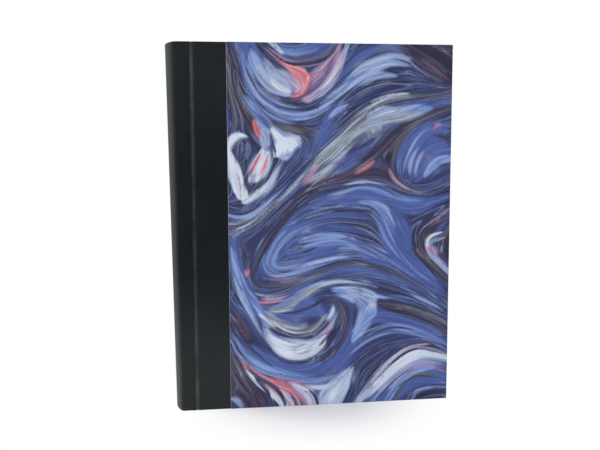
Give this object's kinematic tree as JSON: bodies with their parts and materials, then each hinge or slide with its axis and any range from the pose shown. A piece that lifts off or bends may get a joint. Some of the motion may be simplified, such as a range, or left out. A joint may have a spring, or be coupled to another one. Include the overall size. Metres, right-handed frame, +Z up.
{
  "type": "hardbound composition notebook",
  "caption": "Blank hardbound notebook: round black cloth spine, blue marbled paper sides and two covers that open at pressed grooves.",
  "frame": {"origin": "middle of the footprint of the standing book, on the surface that it stands on", "axes": "+Z up the book from tail to head, +Y towards the back cover, so the front cover faces -Y, +X towards the fore-edge"},
  "size_m": [0.192, 0.02, 0.248],
  "materials": {
    "page_paper": "uncoated writing paper, stacked",
    "endpaper": "uncoated endpaper",
    "gauze": "starched binder's gauze",
    "lining_paper": "brown lining paper",
    "band_thread": "beaded thread",
    "grey_board": "millboard",
    "book_cloth": "fine woven book cloth, near black",
    "marbled_paper": "marbled paper, navy ground",
    "royal_ink": "marbling ink, royal blue",
    "olive_ink": "marbling ink, olive brown",
    "pale_ink": "marbling ink, pale blue",
    "white_ink": "marbling ink, near white",
    "coral_ink": "marbling ink, coral red"
  },
  "bodies": {
    "text_block": {"pages": "page_paper", "front_flyleaf": "endpaper", "back_flyleaf": "endpaper", "gauze": "gauze", "spine_lining": "lining_paper", "head_band": "band_thread", "tail_band": "band_thread", "spine_inlay": "grey_board", "spine_cloth": "book_cloth"},
    "front_cover": {"front_board": "grey_board", "front_cloth": "book_cloth", "front_paper": "marbled_paper", "front_pastedown": "endpaper", "front_ink_royal": "royal_ink", "front_ink_olive": "olive_ink", "front_ink_pale": "pale_ink", "front_ink_white": "white_ink", "front_ink_coral": "coral_ink"},
    "back_cover": {"back_board": "grey_board", "back_cloth": "book_cloth", "back_paper": "marbled_paper", "back_pastedown": "endpaper", "back_ink_royal": "royal_ink", "back_ink_olive": "olive_ink", "back_ink_pale": "pale_ink", "back_ink_white": "white_ink", "back_ink_coral": "coral_ink"}
  },
  "joints": [
    {"name": "front_cover_hinge", "type": "hinge", "parent": "text_block", "child": "front_cover", "pos_m": [-0.0805, -0.0101, 0.124], "axis": [0, 0, -1], "range_deg": [0, 175]},
    {"name": "back_cover_hinge", "type": "hinge", "parent": "text_block", "child": "back_cover", "pos_m": [-0.0805, 0.0101, 0.124], "axis": [0, 0, 1], "range_deg": [0, 175]}
  ]
}
